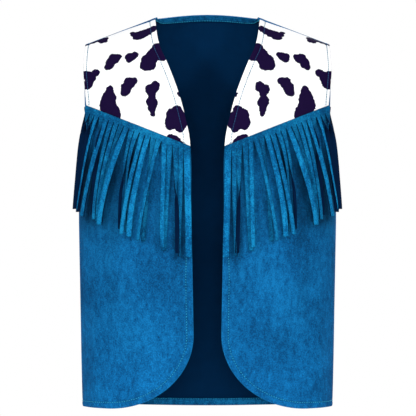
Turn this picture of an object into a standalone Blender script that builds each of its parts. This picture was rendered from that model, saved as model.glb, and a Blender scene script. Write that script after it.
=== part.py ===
"""An open-fronted western vest of suede cloth with cow print yokes and long fringe, at its real size.

The vest stands in its worn shape, hollow and open at the neck, the armholes, the front and the hem. The
origin lies midway between the two side neck points, the inner ends of the shoulder seams. +Z is up and the
front faces -Y. Lengths in the tables are millimetres, and heights are drops below the origin.
"""

import math

import bmesh
import bpy
import numpy as np

MM = 0.001
FRONT, BACK = -1, 1
LEFT, RIGHT = -1, 1

# Cloth
WALL = 1.6
HEM_WALL = 1.2
FRINGE_WALL = 1.2
GAP = 0.3

# Sections of the worn shape. Above the underarm the half width is that of the whole form, armhole included.
SECTION_COLUMNS = ("drop", "half_width", "front_depth", "back_depth")
SECTIONS = (
    (-20, 152.0, 83.0, 80.0),
    (60, 152.0, 84.0, 81.0),
    (95, 150.0, 84.5, 81.5),
    (130, 144.0, 85.0, 82.0),
    (165, 138.4, 85.0, 82.0),
    (222, 137.2, 84.0, 82.0),
    (300, 135.8, 83.0, 82.0),
    (380, 134.3, 83.0, 83.0),
    (425, 133.0, 83.5, 84.0),
)
SQUARENESS = 2.5
CHEST_DROP = 150.0
SHOULDER_ROUNDNESS = 1.8

# Shoulder line, from the side neck point out to the shoulder tip
NECK_HALF = 56.0
SHOULDER_TIP = 130.8
SHOULDER_DROP = 28.5
SEAM_FORWARD = 0.075

# Back neckline: how far it stands behind the side neck points, and above them, at its middle
BACK_NECK_DEEP = 42.0
BACK_NECK_RISE = 7.0
NAPE_CLOSE = -43.0
NAPE_EASE = 60.0

# Front edges: the neck edge of the yoke runs into the centre front edge
FRONT_EDGE_COLUMNS = ("drop", "from_centre")
FRONT_EDGE = (
    (0, 56.0),
    (13, 54.2),
    (25, 52.2),
    (35, 49.2),
    (46, 44.2),
    (60, 38.4),
    (85, 29.3),
    (111, 22.4),
    (128, 18.8),
    (142, 17.4),
    (200, 16.8),
    (260, 15.6),
    (335, 14.2),
)
CORNER_TOP = 335.0
CORNER_WIDE = 90.4
CORNER_TALL = 77.8
CORNER_ANGLES = (90, 81, 71, 61, 51, 41, 31, 20, 10, 0)

# Armhole edge, seen from the front or the back, down to where it starts to turn under the arm
ARMHOLE_COLUMNS = ("drop", "front", "back")
ARMHOLE = (
    (0, 130.6, 130.6),
    (28.5, 130.8, 130.8),
    (43, 131.3, 132.2),
    (57, 131.5, 133.2),
    (79, 129.4, 133.6),
    (95, 127.7, 133.4),
    (112, 127.2, 133.0),
)
ARMHOLE_TURN_DROP = 112.0
UNDERARM_DROP = 165.0

# Hem
SIDE_HEM_DROP = 414.5
BACK_HEM_DIP = 7.0

# Yoke seam and fringe
YOKE_SEAM_DROP = 139.4
YOKE_SEAM_RISE = 0.399
YOKE_SEAM_FROM = 17.5
STRIP_DEEP = 7.0
FRINGE_CLEAR = 0.5
STRAND_LONG = 109.0
STRAND_TAPER = 8.0
STRAND_WIDE = 6.25
FIRST_STRAND_WIDE = 7.7
STRAND_SLIT = 0.7
STRAND_CURL = 0.92
STRAND_STEPS = 4
SWING_EASE = 2.0
LIFT_EASE = 3.0

# The strands of a front, from the centre outwards: how far outwards each has swung at its end, how far it
# stands off the cloth there, and how many degrees it is twisted
STRAND_COLUMNS = ("swing", "lift", "twist")
FRONT_STRANDS = (
    (-1.5, 3.3, 3),
    (-0.5, 5.2, -8),
    (-2.0, 2.9, 4),
    (0.5, 2.9, 5),
    (-0.5, 5.0, -4),
    (13.4, 5.6, -6),
    (12.2, 3.0, 4),
    (14.2, 5.8, 4),
    (15.5, 5.4, 6),
    (14.0, 2.9, 0),
    (12.4, 5.2, -6),
    (20.2, 7.6, -3),
    (17.7, 2.9, 0),
    (16.0, 5.2, 0),
    (13.8, 2.9, 4),
    (19.0, 6.4, 0),
    (17.0, 3.3, 6),
    (17.0, 5.2, 20),
    (17.0, 5.8, 26),
    (17.0, 6.4, 30),
)

# The strands of the back, at shares of the seam from the centre outwards
BACK_HANG_COLUMNS = ("share", "swing", "lift")
BACK_HANG = (
    (0.00, 0.5, 3.6),
    (0.30, 3.0, 3.8),
    (0.55, 6.5, 4.0),
    (0.75, 10.0, 4.6),
    (0.90, 12.5, 8.0),
    (1.00, 13.0, 12.5),
)
BACK_SWAY = 0.8
BACK_STAGGER = 0.9
BACK_TWIST = 5.0

# Turned hems inside the back, and how far they stop short of the edge, as a share of their depth
NECK_HEM_DEEP = 6.4
BOTTOM_HEM_DEEP = 8.2
HEM_TRIM = 0.06

# Soft flutes in the cloth: where round the half section, how wide, how deep at the hem, and where they end
FLUTE_COLUMNS = ("face", "turn", "width", "swell", "fade_drop")
FLUTES = (
    (FRONT, 0.66, 0.15, 2.6, 230.0),
    (FRONT, 0.84, 0.11, -1.6, 260.0),
    (FRONT, 0.38, 0.18, -1.8, 250.0),
    (BACK, 0.22, 0.20, 2.2, 220.0),
    (BACK, 0.50, 0.18, -2.0, 200.0),
    (BACK, 0.74, 0.14, 2.2, 240.0),
)
FLUTE_SIDE_FADE = 0.08

# Columns and rows of the panels' grids. Underarm rows are heights above the underarm, and shoulder rows are
# angles on the shoulder's curve.
FRONT_COLUMNS = 12
FRONT_ROWS = 12
FRONT_UNDERARM_ROWS = (3.5, 11.0, 21.0, 33.0, 48.0)
YOKE_COLUMNS = 9
YOKE_ROWS = 11
NECK_COLUMNS = 6
SHOULDER_COLUMNS = 7
BACK_ROWS = 15
BACK_UNDERARM_ROWS = (3.0, 8.5)
BACK_SHOULDER_ROWS = (0, 9, 18, 28, 38, 48, 58, 67, 76, 84, 90)
BACK_COLUMNS_EVEN_BELOW = 260.0
BACK_COLUMNS_BUNCHED_ABOVE = 40.0
SIDE_COLUMN = 0.02
ARC_SAMPLES = 60
SETTLE_STEPS = 12

SUEDE = (0.006, 0.115, 0.330)
TURNED_SUEDE = (0.005, 0.095, 0.270)
COW_PRINT = (0.90, 0.90, 0.92)
CLOTH_ROUGHNESS = 0.9


def smooth_curve(rows, column=1):
    """A smooth curve through one column of a table, as a function of its first column."""
    table = np.array(rows, float)
    at, value = table[:, 0], table[:, column]
    slope = np.gradient(value, at)

    def evaluate(where):
        where = np.clip(where, at[0], at[-1])
        k = np.clip(np.searchsorted(at, where) - 1, 0, len(at) - 2)
        span = at[k + 1] - at[k]
        s = (where - at[k]) / span
        rise = value[k] * (2 * s**3 - 3 * s**2 + 1) + value[k + 1] * (3 * s**2 - 2 * s**3)
        return rise + span * (slope[k] * (s**3 - 2 * s**2 + s) + slope[k + 1] * (s**3 - s**2))

    return evaluate


half_width = smooth_curve(SECTIONS, SECTION_COLUMNS.index("half_width"))
depth_of = {
    FRONT: smooth_curve(SECTIONS, SECTION_COLUMNS.index("front_depth")),
    BACK: smooth_curve(SECTIONS, SECTION_COLUMNS.index("back_depth")),
}
front_edge = smooth_curve(FRONT_EDGE)
armhole_edge = {
    FRONT: smooth_curve(ARMHOLE, ARMHOLE_COLUMNS.index("front")),
    BACK: smooth_curve(ARMHOLE, ARMHOLE_COLUMNS.index("back")),
}


def back_neck_drop(x):
    """The back neckline, a little above the side neck points at its middle."""
    return -BACK_NECK_RISE * (1 - (x / NECK_HALF) ** 2)


def neck_ring_drop(x):
    """Where the form must close inside the neck points for its open neck to be round at the back."""
    top = back_neck_drop(x)
    full = depth_of[BACK](top) * (1 - (x / half_width(top)) ** SQUARENESS) ** (1 / SQUARENESS)
    left = BACK_NECK_DEEP * math.sqrt(1 - (x / NECK_HALF) ** 2) / full
    climb = (1 - left**SHOULDER_ROUNDNESS) ** (1 / SHOULDER_ROUNDNESS)
    return CHEST_DROP - (CHEST_DROP - top) / climb


def closing_drop(face, x, drop):
    """Where the form closes: on the shoulder line, or where it would if the neck weren't open."""
    slope = SHOULDER_DROP / (SHOULDER_TIP - NECK_HALF)
    if x >= NECK_HALF:
        return slope * (x - NECK_HALF)
    t = x / NECK_HALF
    eased = NAPE_CLOSE * (2 * t**3 - 3 * t**2 + 1) + (t**3 - t**2) * NECK_HALF * slope
    if face == FRONT:
        return eased
    ease = min(max(drop / NAPE_EASE, 0.0), 1.0)
    return neck_ring_drop(x) + (eased - neck_ring_drop(x)) * ease * ease * (3 - 2 * ease)


def turn_of(x, drop):
    """The share of the quarter turn, from the centre line to the side, where the form is this wide."""
    share = np.clip(x / half_width(drop), 0.0, 1.0)
    return np.arcsin(share ** (SQUARENESS / 2)) * 2 / math.pi


def side_distance(turn, drop):
    """The distance from the centre plane at a turn."""
    return half_width(drop) * np.sin(turn * math.pi / 2) ** (2 / SQUARENESS)


def flute(face, turn, drop):
    """How far the soft flutes stand out of the form."""
    out = 0.0
    for row_face, at, width, swell, fade in FLUTES:
        if row_face == face:
            reach = np.clip((drop - fade) / (SIDE_HEM_DROP - fade), 0.0, 1.0)
            out += swell * reach**1.5 * np.exp(-(((turn - at) / width) ** 2) * 2)
    return out * np.clip((1 - turn) / FLUTE_SIDE_FADE, 0.0, 1.0)


def climb_of(face, x, drop):
    """How far up from the chest to where the form closes: 0 to 1."""
    return min(max((CHEST_DROP - drop) / (CHEST_DROP - closing_drop(face, x, drop)), 0.0), 1.0)


def over_the_shoulder(face, x, drop):
    """How much of its full depth the form has left: 1 at the chest, 0 on the shoulder line."""
    return (1 - climb_of(face, x, drop) ** SHOULDER_ROUNDNESS) ** (1 / SHOULDER_ROUNDNESS)


def form(face, turn, drop):
    """A point of the cloth's outer surface on the +X half, in millimetres."""
    x = side_distance(turn, drop)
    depth = depth_of[face](drop) + flute(face, turn, drop)
    y = face * depth * np.cos(turn * math.pi / 2) ** (2 / SQUARENESS) * over_the_shoulder(face, x, drop)
    return np.array([x, y, -drop])


def outward(face, turn, drop):
    """The outward unit normal of the form."""
    step = 0.002
    turn = min(max(turn, 2 * step), 1 - 2 * step)
    around = form(face, turn + step, drop) - form(face, turn - step, drop)
    up = form(face, turn, drop - 0.5) - form(face, turn, drop + 0.5)
    n = np.cross(around, up) * -face
    return n / np.linalg.norm(n)


def lifted(face, turn, drop, lift):
    """A point held off the form along its normal."""
    point = form(face, turn, drop) + outward(face, turn, drop) * lift
    if turn < 0.0001:
        point[0] = 0.0
    return point


def section_arc(face, drop):
    """The turns along one section, and the arc length from the centre line to each."""
    turns = np.linspace(0.0, 1.0, ARC_SAMPLES)
    points = np.array([form(face, t, drop) for t in turns])
    return turns, np.concatenate([[0.0], np.cumsum(np.linalg.norm(np.diff(points, axis=0), axis=1))])


def side_turn(face, drop):
    """The outer edge of a panel: the side seam, then the armhole."""
    if drop >= UNDERARM_DROP:
        return 1.0
    if drop <= ARMHOLE_TURN_DROP:
        return float(turn_of(armhole_edge[face](drop), drop))
    climb = (UNDERARM_DROP - drop) / (UNDERARM_DROP - ARMHOLE_TURN_DROP)
    inner = float(turn_of(armhole_edge[face](ARMHOLE_TURN_DROP), drop))
    return 1 - (1 - inner) * math.sqrt(1 - (1 - climb) ** 2)


def front_turn(drop):
    """The inner edge of the fronts: the neck, the centre front and the round corner."""
    if drop <= CORNER_TOP:
        return float(turn_of(front_edge(drop), drop))
    down = min((drop - CORNER_TOP) / CORNER_TALL, 1.0)
    x = front_edge(CORNER_TOP) + CORNER_WIDE * (1 - math.sqrt(1 - down**2))
    return float(turn_of(x, drop))


def centre_back(drop):
    """The inner edge of the back fringe, half a gap from the centre line."""
    return float(turn_of(GAP / 2, drop))


def seam_drop(x):
    """The yoke seam, rising from the front edge to the armhole."""
    return YOKE_SEAM_DROP - YOKE_SEAM_RISE * (x - YOKE_SEAM_FROM)


def meeting_height(height_of, turn_at):
    """The height where a column meets an edge whose own height depends on how far out the column is there."""
    drop = float(height_of(0.0))
    for _ in range(SETTLE_STEPS):
        drop = float(height_of(side_distance(turn_at(drop), drop)))
    return drop


def across(face, inner_turn, share):
    """A turn part of the way from an inner edge to the side, as a function of the height."""
    return lambda drop: inner_turn(drop) + (side_turn(face, drop) - inner_turn(drop)) * share


def shares_to_side(count):
    """Column shares, with one narrow column beside the side seam."""
    return list(np.linspace(0.0, 1.0 - SIDE_COLUMN, count)) + [1.0]


def cloth(name, rows, thickness, colour, side=RIGHT, face=FRONT, cut=None, mirror=False):
    """A wall of cloth: a grid whose outer face runs through rows of points, in millimetres on the +X half.

    The rows run upwards and the points in a row run outwards. A cut leaves out the grid faces it names by row
    and column.
    """
    points = np.array(rows)
    bm = bmesh.new()
    bmesh.ops.create_grid(bm, x_segments=points.shape[1] - 1, y_segments=points.shape[0] - 1, size=1)
    for vertex, point in zip(bm.verts, points.reshape(-1, 3)):
        vertex.co = point * np.array([side, 1, 1]) * MM
    if cut:
        columns = points.shape[1] - 1
        holes = [f for k, f in enumerate(bm.faces) if cut(k // columns, k % columns)]
        bmesh.ops.delete(bm, geom=holes, context="FACES")
    if side * face == LEFT * FRONT:
        bmesh.ops.reverse_faces(bm, faces=bm.faces)
    mesh = bpy.data.meshes.new(name)
    bm.to_mesh(mesh)
    bm.free()

    piece = bpy.data.objects.new(name, mesh)
    bpy.data.collections["western_vest"].objects.link(piece)
    material = bpy.data.materials.new(name)
    material.use_nodes = True
    shader = material.node_tree.nodes["Principled BSDF"]
    shader.inputs["Base Color"].default_value = (*colour, 1)
    shader.inputs["Roughness"].default_value = CLOTH_ROUGHNESS
    shader.inputs["Metallic"].default_value = 0.0
    mesh.materials.append(material)

    if mirror:
        halves = piece.modifiers.new("Both halves", "MIRROR")
        halves.use_axis[0] = True
        halves.merge_threshold = 0.0001
    wall = piece.modifiers.new("Wall", "SOLIDIFY")
    wall.thickness = thickness * MM
    wall.offset = -1
    mesh.shade_smooth()
    mesh.set_sharp_from_angle(angle=math.radians(35))
    return piece


def trimmed_side(face, turn, drop):
    """A point of a panel, kept half a gap short of the side seam."""
    point = form(face, turn, drop)
    if abs(point[1]) < GAP / 2:
        point[1] = face * GAP / 2
    return point


def lower_front_rows():
    """The lower front, from the hem and the round corner up to the yoke seam."""
    corner = [CORNER_TOP + CORNER_TALL * math.sin(math.radians(angle)) for angle in CORNER_ANGLES]
    straight = list(np.linspace(CORNER_TOP, UNDERARM_DROP, FRONT_ROWS + 1)[1:])
    underarm = [UNDERARM_DROP - up for up in FRONT_UNDERARM_ROWS]
    end = meeting_height(seam_drop, across(FRONT, front_turn, 1.0)) + GAP / 2
    hem_rise = SIDE_HEM_DROP - corner[0]
    rows = []
    for level in corner + straight + underarm + [end]:
        row = []
        for share in shares_to_side(FRONT_COLUMNS):
            column = across(FRONT, front_turn, share)
            if level >= CORNER_TOP:
                turn = column(level)
                drop = level + hem_rise * share**2 * (level - CORNER_TOP) / CORNER_TALL
            else:
                top = meeting_height(seam_drop, column) + GAP / 2
                drop = CORNER_TOP + (top - CORNER_TOP) * (CORNER_TOP - level) / (CORNER_TOP - end)
                turn = column(drop)
            row.append(trimmed_side(FRONT, turn, drop))
        rows.append(row)
    return rows


def seam_line(face, inner_turn):
    """The yoke seam's line on one half: shares of it, the length to each, and the point at a share."""

    def seam_point(share):
        column = across(face, inner_turn, share)
        drop = meeting_height(seam_drop, column)
        return column(drop), drop

    shares = np.linspace(0.0, 1.0, 80)
    line = np.array([form(face, *seam_point(share)) for share in shares])
    along = np.concatenate([[0.0], np.cumsum(np.linalg.norm(np.diff(line, axis=0), axis=1))])
    return shares, along, seam_point


def shoulder_height(face, turn_at, angle):
    """The height on the shoulder's curve at an angle: 0 at the chest, a right angle on the shoulder line."""
    climb = math.sin(angle) ** (2 / SHOULDER_ROUNDNESS)
    drop = CHEST_DROP * (1 - climb)
    for _ in range(SETTLE_STEPS):
        x = side_distance(turn_at(drop), drop)
        drop = CHEST_DROP - climb * (CHEST_DROP - closing_drop(face, x, drop))
    return drop


def shoulder_angle(face, x, drop):
    """The angle on the shoulder's curve at a height."""
    return math.asin(climb_of(face, x, drop) ** (SHOULDER_ROUNDNESS / 2))


SEAM_ANGLE = math.acos(SEAM_FORWARD ** (SHOULDER_ROUNDNESS / 2))


def yoke_rows():
    """The yoke, from the slanting seam up and over to the shoulder seam."""
    rows = [[] for _ in range(YOKE_ROWS + 1)]
    for share in np.linspace(0.0, 1.0, YOKE_COLUMNS):
        column = across(FRONT, front_turn, share)
        bottom = meeting_height(seam_drop, column) - GAP / 2
        start = shoulder_angle(FRONT, side_distance(column(bottom), bottom), bottom)
        for i, row in enumerate(rows):
            if i == 0:
                drop = bottom
            else:
                angle = start + (SEAM_ANGLE - start) * i / YOKE_ROWS
                drop = shoulder_height(FRONT, column, angle)
            row.append(form(FRONT, column(drop), drop))
    return rows


def back_hem_drop(turn):
    """The back hem, which dips towards the centre back."""
    return SIDE_HEM_DROP + BACK_HEM_DIP * math.cos(turn * math.pi / 2) ** 2


def back_columns():
    """Column shares at the hem and at the top, where they bunch up beside the neck."""
    tip = float(turn_of(SHOULDER_TIP, SHOULDER_DROP))
    neck = [NECK_HALF * math.sin(a * math.pi / 2 / NECK_COLUMNS) for a in range(NECK_COLUMNS + 1)]
    shoulder = list(np.linspace(NECK_HALF, SHOULDER_TIP, SHOULDER_COLUMNS + 1)[1:])
    at_top = [float(turn_of(x, 0.0)) / tip for x in neck] + [float(turn_of(x, 15.0)) / tip for x in shoulder]
    at_top[-1] = 1.0
    at_top.insert(-1, 1.0 - SIDE_COLUMN)
    at_hem = shares_to_side(len(at_top) - 1)
    return at_hem, at_top


def back_column(low, high):
    """One column of the back, as a function of the height."""

    def turn_at(drop):
        ease_over = BACK_COLUMNS_EVEN_BELOW - BACK_COLUMNS_BUNCHED_ABOVE
        climb = min(max((BACK_COLUMNS_EVEN_BELOW - drop) / ease_over, 0.0), 1.0)
        blend = climb * climb * (3 - 2 * climb)
        return (low + (high - low) * blend) * side_turn(BACK, drop)

    return turn_at


def back_rows():
    """The back half, from the hem to the neckline and to the shoulder line, then on to the seam in front."""
    first_row = BOTTOM_HEM_DEEP / (SIDE_HEM_DROP - UNDERARM_DROP)
    straight = [0.0] + list(np.linspace(first_row, 1.0, BACK_ROWS + 1))
    seam = math.degrees(SEAM_ANGLE)
    columns = []
    for low, high in zip(*back_columns()):
        column = back_column(low, high)
        hem = back_hem_drop(column(SIDE_HEM_DROP))
        drops = [hem + (UNDERARM_DROP - hem) * share for share in straight]
        drops += [UNDERARM_DROP - up for up in BACK_UNDERARM_ROWS]
        points = [trimmed_side(BACK, column(drop), drop) for drop in drops]

        top = meeting_height(back_neck_drop, column)
        top_x = float(side_distance(column(top), top))
        at_neck = top_x < NECK_HALF - GAP
        last = math.degrees(shoulder_angle(BACK, top_x, top)) if at_neck else 90.0
        angles = [math.radians(angle * last / 90) for angle in BACK_SHOULDER_ROWS]
        drops = [shoulder_height(BACK, column, angle) for angle in angles]
        if at_neck:
            drops[-2:] = [top + NECK_HEM_DEEP, top]
        points += [form(BACK, column(drop), drop) for drop in drops]

        for angle in ((90 + seam) / 2, seam):
            drop = shoulder_height(FRONT, column, math.radians(angle))
            points.append(form(FRONT, column(drop), drop))
        points[-1][1] += GAP
        columns.append(points)
    return [list(row) for row in zip(*columns)]


def moved_in(rows, distance):
    """The back's points moved in from its outer face."""
    points = np.array(rows)
    normals = np.cross(np.gradient(points, axis=1), np.gradient(points, axis=0))
    normals /= np.linalg.norm(normals, axis=2, keepdims=True)
    normals *= -np.sign(normals[..., 1:2])
    moved = points + normals * distance
    moved[:, 0, 0] = 0.0
    return moved


def turned_hem(edge_first):
    """A turned hem inside the back: its edge row and the row beside it, moved in past the wall."""
    inner = moved_in(edge_first, WALL + GAP)
    return [inner[0] + (inner[1] - inner[0]) * HEM_TRIM, inner[1]]


def back_strands():
    """The back's strands, by the same columns as the front's, a little uneven from one to the next."""
    count = round(seam_line(BACK, centre_back)[1][-1] / STRAND_WIDE)
    swing_at, lift_at = (smooth_curve(BACK_HANG, BACK_HANG_COLUMNS.index(c)) for c in BACK_HANG_COLUMNS[1:])
    strands = []
    for k in range(count):
        share = (k + 0.5) / count
        swing = float(swing_at(share)) + BACK_SWAY * math.sin(2.4 * k)
        lift = float(lift_at(share)) + BACK_STAGGER * (-1) ** k
        strands.append((swing, lift, BACK_TWIST * math.sin(1.7 * k)))
    return strands


def fringe_rows(face, inner_turn, strands, first_wide):
    """A fringe as rows of points: the strip's edges, then the two edges of each strand on its way down."""
    shares, along, seam_point = seam_line(face, inner_turn)
    wide = (along[-1] - first_wide) / (len(strands) - 1)
    base = FRINGE_CLEAR + FRINGE_WALL
    columns = []
    start = 0.0
    for k, (swing, lift, twist) in enumerate(strands):
        end = start + (wide if k else first_wide)
        cuts = (start + STRAND_SLIT / 2, end - STRAND_SLIT / 2)
        edges = [seam_point(float(np.interp(at, along, shares))) for at in cuts]
        pair = [
            [lifted(face, turn, drop + GAP, base), lifted(face, turn, drop + STRIP_DEEP, base)]
            for turn, drop in edges
        ]
        half = (cuts[1] - cuts[0]) / 2 * STRAND_CURL
        root_turn = (edges[0][0] + edges[1][0]) / 2
        root_drop = (edges[0][1] + edges[1][1]) / 2 + STRIP_DEEP
        root_arc = np.interp(root_turn, *section_arc(face, root_drop))
        length = STRAND_LONG - STRAND_TAPER * k / (len(strands) - 1)
        for step in range(1, STRAND_STEPS + 1):
            down = step / STRAND_STEPS
            drop = root_drop + math.sqrt(length**2 - swing**2) * down
            turns, arcs = section_arc(face, drop)
            arc = root_arc + swing * (1 - (1 - down) ** SWING_EASE)
            inner, middle, outer = (float(np.interp(a, arcs, turns)) for a in (arc - half, arc, arc + half))
            width = form(face, outer, drop) - form(face, inner, drop)
            width /= np.linalg.norm(width)
            turned = math.radians(twist) * down
            width = (width * math.cos(turned) + outward(face, middle, drop) * math.sin(turned)) * half
            centre = lifted(face, middle, drop, base + (lift - base) * (1 - (1 - down) ** LIFT_EASE))
            pair[0].append(centre - width)
            pair[1].append(centre + width)
        columns += pair
        start = end
    return [list(row) for row in zip(*columns)][::-1]


def is_slit(row, column):
    """The slits between the strands: every other column of a fringe's grid, up to the strip."""
    return column % 2 == 1 and row < STRAND_STEPS


def main():
    for old in list(bpy.data.objects):
        bpy.data.objects.remove(old)
    vest = bpy.data.collections.new("western_vest")
    bpy.context.scene.collection.children.link(vest)

    front = lower_front_rows()
    yoke = yoke_rows()
    front_fringe = fringe_rows(FRONT, front_turn, FRONT_STRANDS, FIRST_STRAND_WIDE)
    back_fringe = fringe_rows(BACK, centre_back, back_strands(), STRAND_WIDE)
    for word, side in (("left", LEFT), ("right", RIGHT)):
        cloth(f"front_{word}", front, WALL, SUEDE, side)
        cloth(f"yoke_{word}", yoke, WALL, COW_PRINT, side)
        cloth(f"fringe_front_{word}", front_fringe, FRINGE_WALL, SUEDE, side, FRONT, is_slit)
        cloth(f"fringe_back_{word}", back_fringe, FRINGE_WALL, SUEDE, side, BACK, is_slit)

    back = back_rows()
    neck_row = BACK_ROWS + len(BACK_UNDERARM_ROWS) + len(BACK_SHOULDER_ROWS) + 1

    def is_neck_opening(row, column):
        return row >= neck_row and column < NECK_COLUMNS

    cloth("back", back, WALL, SUEDE, RIGHT, BACK, is_neck_opening, mirror=True)
    neck_edge = [row[:NECK_COLUMNS] for row in back[neck_row - 3 : neck_row + 1][::-1]]
    neck_hem = turned_hem(neck_edge)[::-1]
    bottom_hem = turned_hem([row[:-1] for row in back[:4]])
    cloth("back_neck_hem", neck_hem, HEM_WALL, TURNED_SUEDE, RIGHT, BACK, mirror=True)
    cloth("back_bottom_hem", bottom_hem, HEM_WALL, TURNED_SUEDE, RIGHT, BACK, mirror=True)


main()
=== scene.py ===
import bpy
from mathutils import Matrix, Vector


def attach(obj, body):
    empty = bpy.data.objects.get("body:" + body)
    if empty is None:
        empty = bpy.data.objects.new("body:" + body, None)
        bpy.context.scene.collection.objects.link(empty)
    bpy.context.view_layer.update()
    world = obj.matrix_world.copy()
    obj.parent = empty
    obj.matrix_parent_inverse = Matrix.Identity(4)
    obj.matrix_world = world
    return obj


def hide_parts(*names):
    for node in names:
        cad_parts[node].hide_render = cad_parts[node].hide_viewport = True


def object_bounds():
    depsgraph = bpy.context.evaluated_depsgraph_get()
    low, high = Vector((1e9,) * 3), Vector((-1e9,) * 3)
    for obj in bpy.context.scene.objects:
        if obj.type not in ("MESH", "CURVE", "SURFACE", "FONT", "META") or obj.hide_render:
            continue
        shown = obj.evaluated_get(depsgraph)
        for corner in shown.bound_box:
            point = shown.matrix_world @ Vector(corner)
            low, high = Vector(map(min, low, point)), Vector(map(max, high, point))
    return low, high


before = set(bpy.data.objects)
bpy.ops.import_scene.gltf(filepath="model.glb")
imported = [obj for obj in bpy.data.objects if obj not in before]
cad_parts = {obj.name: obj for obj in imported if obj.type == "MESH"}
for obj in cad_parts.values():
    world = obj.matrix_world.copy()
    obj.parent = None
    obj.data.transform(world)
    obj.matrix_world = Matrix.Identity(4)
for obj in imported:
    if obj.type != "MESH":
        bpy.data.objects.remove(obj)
cadBox = [list(corner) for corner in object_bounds()]

import math

import bpy
import numpy as np
from mathutils import Vector, geometry, kdtree
from mathutils.bvhtree import BVHTree

mm = 0.001
front, back = -1, 1
left, right = -1, 1
sideNames = {left: "left", right: "right"}


# camera, light and floor
studio = {
    "cameraPlace": (0.00054, -2.5, -0.2033),
    "lens": 202.2,
    "backdrop": (1.0, 1.0, 1.0),
    "ambient": 0.30,
    "floorDrop": 0.16,       # how far the floor lies below the hem
    "floorRadius": 1.7,
    # place, aim, size, watts
    "lamps": {
        "keyLeft": ((-1.75, -1.95, 1.25), (0.0, 0.0, -0.2), 0.5, 55.5),
        "keyRight": ((1.75, -1.95, 1.25), (0.0, 0.0, -0.2), 0.5, 52.5),
        "front": ((0.0, -2.3, -0.05), (0.0, 0.0, -0.22), 0.5, 26.0),
        "top": ((0.0, 0.2, 1.6), (0.0, 0.0, -0.1), 1.2, 10.0),
        "behind": ((0.5, 2.6, 0.9), (0.0, 0.0, -0.2), 1.4, 55.0),
    },
}


def newObject(name, data):
    thing = bpy.data.objects.new(name, data)
    bpy.context.scene.collection.objects.link(thing)
    return thing


def buildStudio():
    scene = bpy.context.scene
    scene.view_settings.view_transform = "Standard"
    camera = newObject("camera", bpy.data.cameras.new("camera"))
    camera.location = studio["cameraPlace"]
    camera.rotation_euler = (math.pi / 2, 0, 0)
    camera.data.lens = studio["lens"]
    scene.camera = camera

    for name, (place, target, size, watts) in studio["lamps"].items():
        lamp = newObject(name, bpy.data.lights.new(name, "AREA"))
        lamp.data.size = size
        lamp.data.energy = watts
        lamp.location = place
        lamp.rotation_euler = (Vector(target) - Vector(place)).to_track_quat("-Z", "Y").to_euler()

    # the camera sees a white backdrop, which lights the vest only softly
    world = bpy.data.worlds.new("studio")
    scene.world = world
    world.use_nodes = True
    tree = world.node_tree
    tree.nodes.clear()
    seen, lit = (addNode(tree, "ShaderNodeBackground", {"Color": studio["backdrop"], "Strength": strength})
                 for strength in (1.0, studio["ambient"]))
    path = addNode(tree, "ShaderNodeLightPath")
    mix = addNode(tree, "ShaderNodeMixShader",
                  {0: path.outputs["Is Camera Ray"], 1: lit.outputs[0], 2: seen.outputs[0]})
    addNode(tree, "ShaderNodeOutputWorld", {"Surface": mix.outputs[0]})

    radius, height = studio["floorRadius"], cadBox[0][2] - studio["floorDrop"]
    around = np.linspace(0, 2 * math.pi, 97)[:-1]
    rim = [(radius * math.cos(a), radius * math.sin(a), height) for a in around]
    mesh = bpy.data.meshes.new("floor")
    mesh.from_pydata(rim, [], [list(range(len(rim)))])
    mesh.materials.append(floorPaper())
    newObject("floor", mesh)
    print("studio ready")


# nodes
def addNode(tree, kind, sockets=None, **properties):
    made = tree.nodes.new(kind)
    for name, value in properties.items():
        setattr(made, name, value)
    for name, value in (sockets or {}).items():
        socket = made.inputs[name]
        if isinstance(value, bpy.types.NodeSocket):
            tree.links.new(value, socket)
        elif socket.type == "RGBA":
            socket.default_value = (*value[:3], 1)
        else:
            socket.default_value = value
    return made


def result(tree, kind, sockets=None, **properties):
    return addNode(tree, kind, sockets, **properties).outputs[0]


def sums(tree, operation, first, second=0.0, third=0.0):
    return result(tree, "ShaderNodeMath", {0: first, 1: second, 2: third}, operation=operation)


def scaled(tree, value, by, plus=0.0):
    return sums(tree, "MULTIPLY_ADD", value, by, plus)


def mixColour(tree, share, first, second, blend="MIX"):
    node = addNode(tree, "ShaderNodeMix", {0: share, 6: first, 7: second}, data_type="RGBA", blend_type=blend)
    return node.outputs[2]


def remap(tree, value, low, high, toLow=0.0, toHigh=1.0):
    return result(tree, "ShaderNodeMapRange", {0: value, 1: low, 2: high, 3: toLow, 4: toHigh},
                  interpolation_type="SMOOTHSTEP")


def noise(tree, place, scale, detail=2.0, rough=0.5, distortion=0.0):
    return result(tree, "ShaderNodeTexNoise", {"Vector": place, "Scale": scale, "Detail": detail,
                                               "Roughness": rough, "Distortion": distortion})


def stretched(tree, place, upright):
    return result(tree, "ShaderNodeMapping", {"Vector": place, "Scale": (1.0, 1.0, upright)})


def meshValue(tree, name):
    return addNode(tree, "ShaderNodeAttribute", attribute_name=name).outputs["Fac"]


def bumped(tree, height, strength, distance, normal=None):
    sockets = {"Height": height, "Strength": strength, "Distance": distance}
    if normal is not None:
        sockets["Normal"] = normal
    return result(tree, "ShaderNodeBump", sockets)


def newTree(name, kind, inputs, outputs):
    tree = bpy.data.node_groups.new(name, kind)
    for direction, sockets in (("INPUT", inputs), ("OUTPUT", outputs)):
        for label, socketKind in sockets.items():
            tree.interface.new_socket(label, in_out=direction, socket_type="NodeSocket" + socketKind)
    return tree, tree.nodes.new("NodeGroupInput").outputs, tree.nodes.new("NodeGroupOutput").inputs


def newMaterial(name):
    material = bpy.data.materials.new(name)
    material.use_nodes = True
    tree = material.node_tree
    return material, tree, tree.nodes.new("ShaderNodeTexCoord").outputs["Object"]


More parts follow.
